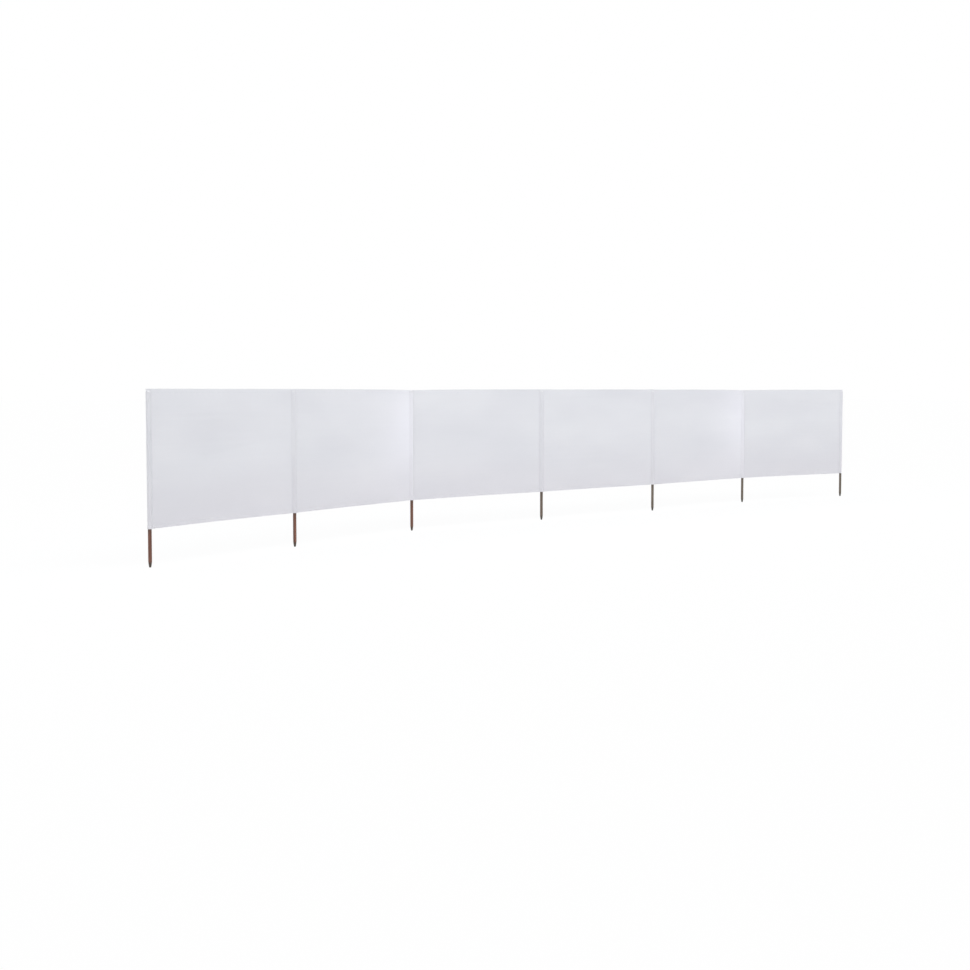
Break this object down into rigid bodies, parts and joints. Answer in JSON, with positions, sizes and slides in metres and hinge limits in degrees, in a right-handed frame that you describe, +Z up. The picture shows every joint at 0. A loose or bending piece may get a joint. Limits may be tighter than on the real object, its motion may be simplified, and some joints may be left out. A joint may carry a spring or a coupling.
{
  "type": "beach windbreak",
  "caption": "Low upright cloth screen in bays, held by round wooden poles in sewn sleeves and pushed into the ground.",
  "frame": {"origin": "centre of the blunt flat end of the middle pole's foot", "axes": "+Z up along the poles; +X along the two middle bays, from the first pole to the last; the front of the cloth looks along -Y"},
  "size_m": [7.9141, 0.8072, 1.02],
  "materials": {
    "screen_cloth": "plain-woven white polyester, matt",
    "sleeve_cloth": "doubled plain-woven white polyester, matt",
    "pole_wood": "reddish-brown stain, worn grey-green at the point"
  },
  "bodies": {
    "root": {"pole_1": "pole_wood", "pole_2": "pole_wood", "pole_3": "pole_wood", "pole_4": "pole_wood", "pole_5": "pole_wood", "pole_6": "pole_wood", "pole_7": "pole_wood", "pole_sleeve_1": "sleeve_cloth", "pole_sleeve_2": "sleeve_cloth", "pole_sleeve_3": "sleeve_cloth", "pole_sleeve_4": "sleeve_cloth", "pole_sleeve_5": "sleeve_cloth", "pole_sleeve_6": "sleeve_cloth", "pole_sleeve_7": "sleeve_cloth", "fabric_bay_1": "screen_cloth", "fabric_bay_2": "screen_cloth", "fabric_bay_3": "screen_cloth", "fabric_bay_4": "screen_cloth", "fabric_bay_5": "screen_cloth", "fabric_bay_6": "screen_cloth"}
  },
  "joints": []
}
